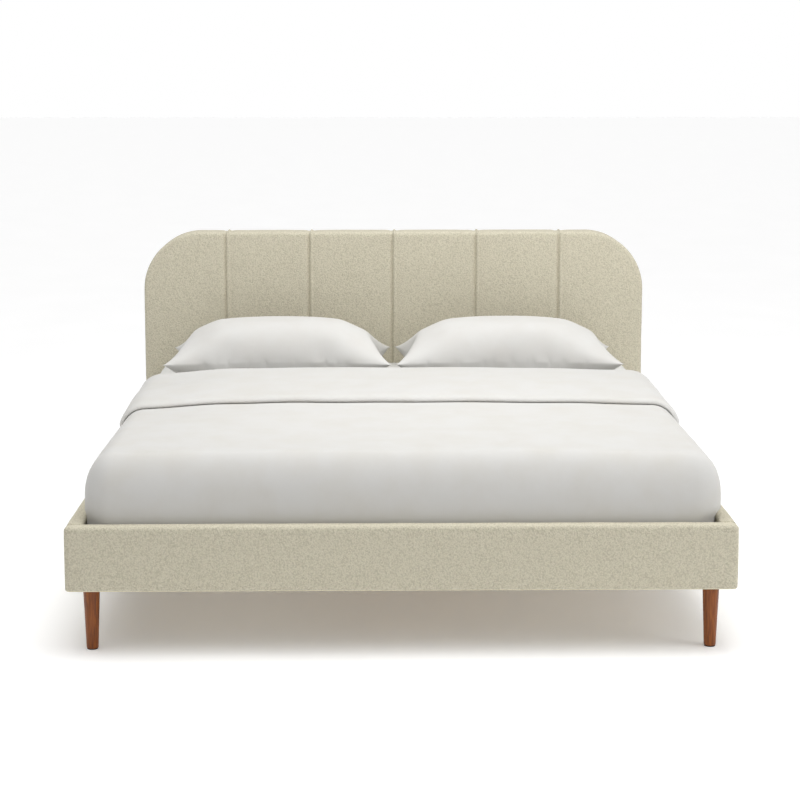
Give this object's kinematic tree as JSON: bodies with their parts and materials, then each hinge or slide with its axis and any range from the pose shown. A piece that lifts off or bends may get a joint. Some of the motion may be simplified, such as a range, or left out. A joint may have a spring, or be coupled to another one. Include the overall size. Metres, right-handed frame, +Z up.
{
  "type": "upholstered headboard bed",
  "caption": "King-size bed with a padded, channelled headboard with rounded top corners, low padded rails, tapered wooden legs, and a made-up mattress with duvet and pillows.",
  "frame": {"origin": "on the floor, under the middle of the bed's outline", "axes": "+X to the right of someone standing at the foot, +Y from the foot towards the headboard, +Z up"},
  "size_m": [2.05, 2.2, 1.111],
  "materials": {
    "boucle": "looped boucle, matt, oatmeal",
    "upholstery_foam": "open-cell polyurethane foam and fibre wadding",
    "back_lining": "spun-bonded lining cloth, matt",
    "plywood": "sanded birch plywood, bare",
    "frame_timber": "planed pine, bare",
    "slat_wood": "planed poplar, bare",
    "strap_webbing": "woven polyester webbing",
    "walnut_stain": "beech stained walnut, satin lacquer",
    "zinc_steel": "bright zinc plate",
    "glide_felt": "pressed wool felt",
    "glide_nylon": "moulded black nylon",
    "mattress_foam": "polyurethane foam",
    "ticking": "quilted knit ticking",
    "sheet_cotton": "white cotton percale",
    "duvet_cotton": "white brushed cotton, matt",
    "pillow_cotton": "white cotton over fibre fill"
  },
  "bodies": {
    "bed_frame": {"beam_brackets": "zinc_steel", "block_screws": "zinc_steel", "bolt_washers": "zinc_steel", "bracket_screws": "zinc_steel", "centre_beam": "frame_timber", "centre_legs": "frame_timber", "channel_welts": "boucle", "corner_blocks": "frame_timber", "foot_rail_core": "frame_timber", "foot_rail_cover": "boucle", "foot_rail_foam": "upholstery_foam", "glide_sleeves": "zinc_steel", "hanger_bolts": "zinc_steel", "head_rail": "frame_timber", "headboard_back_cloth": "back_lining", "headboard_battens": "frame_timber", "headboard_bolts": "zinc_steel", "headboard_cover": "boucle", "headboard_foam": "upholstery_foam", "headboard_panel": "plywood", "headboard_spacers": "zinc_steel", "headboard_stiles": "frame_timber", "headboard_wadding": "upholstery_foam", "leg_front_left": "walnut_stain", "leg_front_right": "walnut_stain", "leg_glides": "glide_felt", "leg_inserts": "zinc_steel", "leg_plate_screws": "zinc_steel", "leg_plates": "zinc_steel", "leg_rear_left": "walnut_stain", "leg_rear_right": "walnut_stain", "rail_bolts": "zinc_steel", "side_rail_core_left": "frame_timber", "side_rail_core_right": "frame_timber", "side_rail_cover_left": "boucle", "side_rail_cover_right": "boucle", "side_rail_foam_left": "upholstery_foam", "side_rail_foam_right": "upholstery_foam", "slat_ledge_left": "frame_timber", "slat_ledge_right": "frame_timber", "slat_straps": "strap_webbing", "slats": "slat_wood", "tee_nuts": "zinc_steel"},
    "mattress": {"mattress_core": "mattress_foam", "mattress_cover": "ticking", "fitted_sheet": "sheet_cotton"},
    "duvet": {"duvet": "duvet_cotton"},
    "pillow_left": {"pillow_left": "pillow_cotton"},
    "pillow_right": {"pillow_right": "pillow_cotton"},
    "glide_foot": {"levelling_glide_foot": "glide_nylon"},
    "glide_middle": {"levelling_glide_middle": "glide_nylon"},
    "glide_head": {"levelling_glide_head": "glide_nylon"}
  },
  "joints": [
    {"name": "mattress_lift", "type": "slide", "parent": "bed_frame", "child": "mattress", "axis": [0, 0, 1], "range_m": [0, 0.4]},
    {"name": "duvet_lift", "type": "slide", "parent": "mattress", "child": "duvet", "axis": [0, 0, 1], "range_m": [0, 0.4]},
    {"name": "pillow_left_lift", "type": "slide", "parent": "mattress", "child": "pillow_left", "axis": [0, 0, 1], "range_m": [0, 0.3]},
    {"name": "pillow_right_lift", "type": "slide", "parent": "mattress", "child": "pillow_right", "axis": [0, 0, 1], "range_m": [0, 0.3]},
    {"name": "glide_foot_screw", "type": "slide", "parent": "bed_frame", "child": "glide_foot", "axis": [0, 0, 1], "range_m": [0, 0.012]},
    {"name": "glide_middle_screw", "type": "slide", "parent": "bed_frame", "child": "glide_middle", "axis": [0, 0, 1], "range_m": [0, 0.012]},
    {"name": "glide_head_screw", "type": "slide", "parent": "bed_frame", "child": "glide_head", "axis": [0, 0, 1], "range_m": [0, 0.012]}
  ]
}
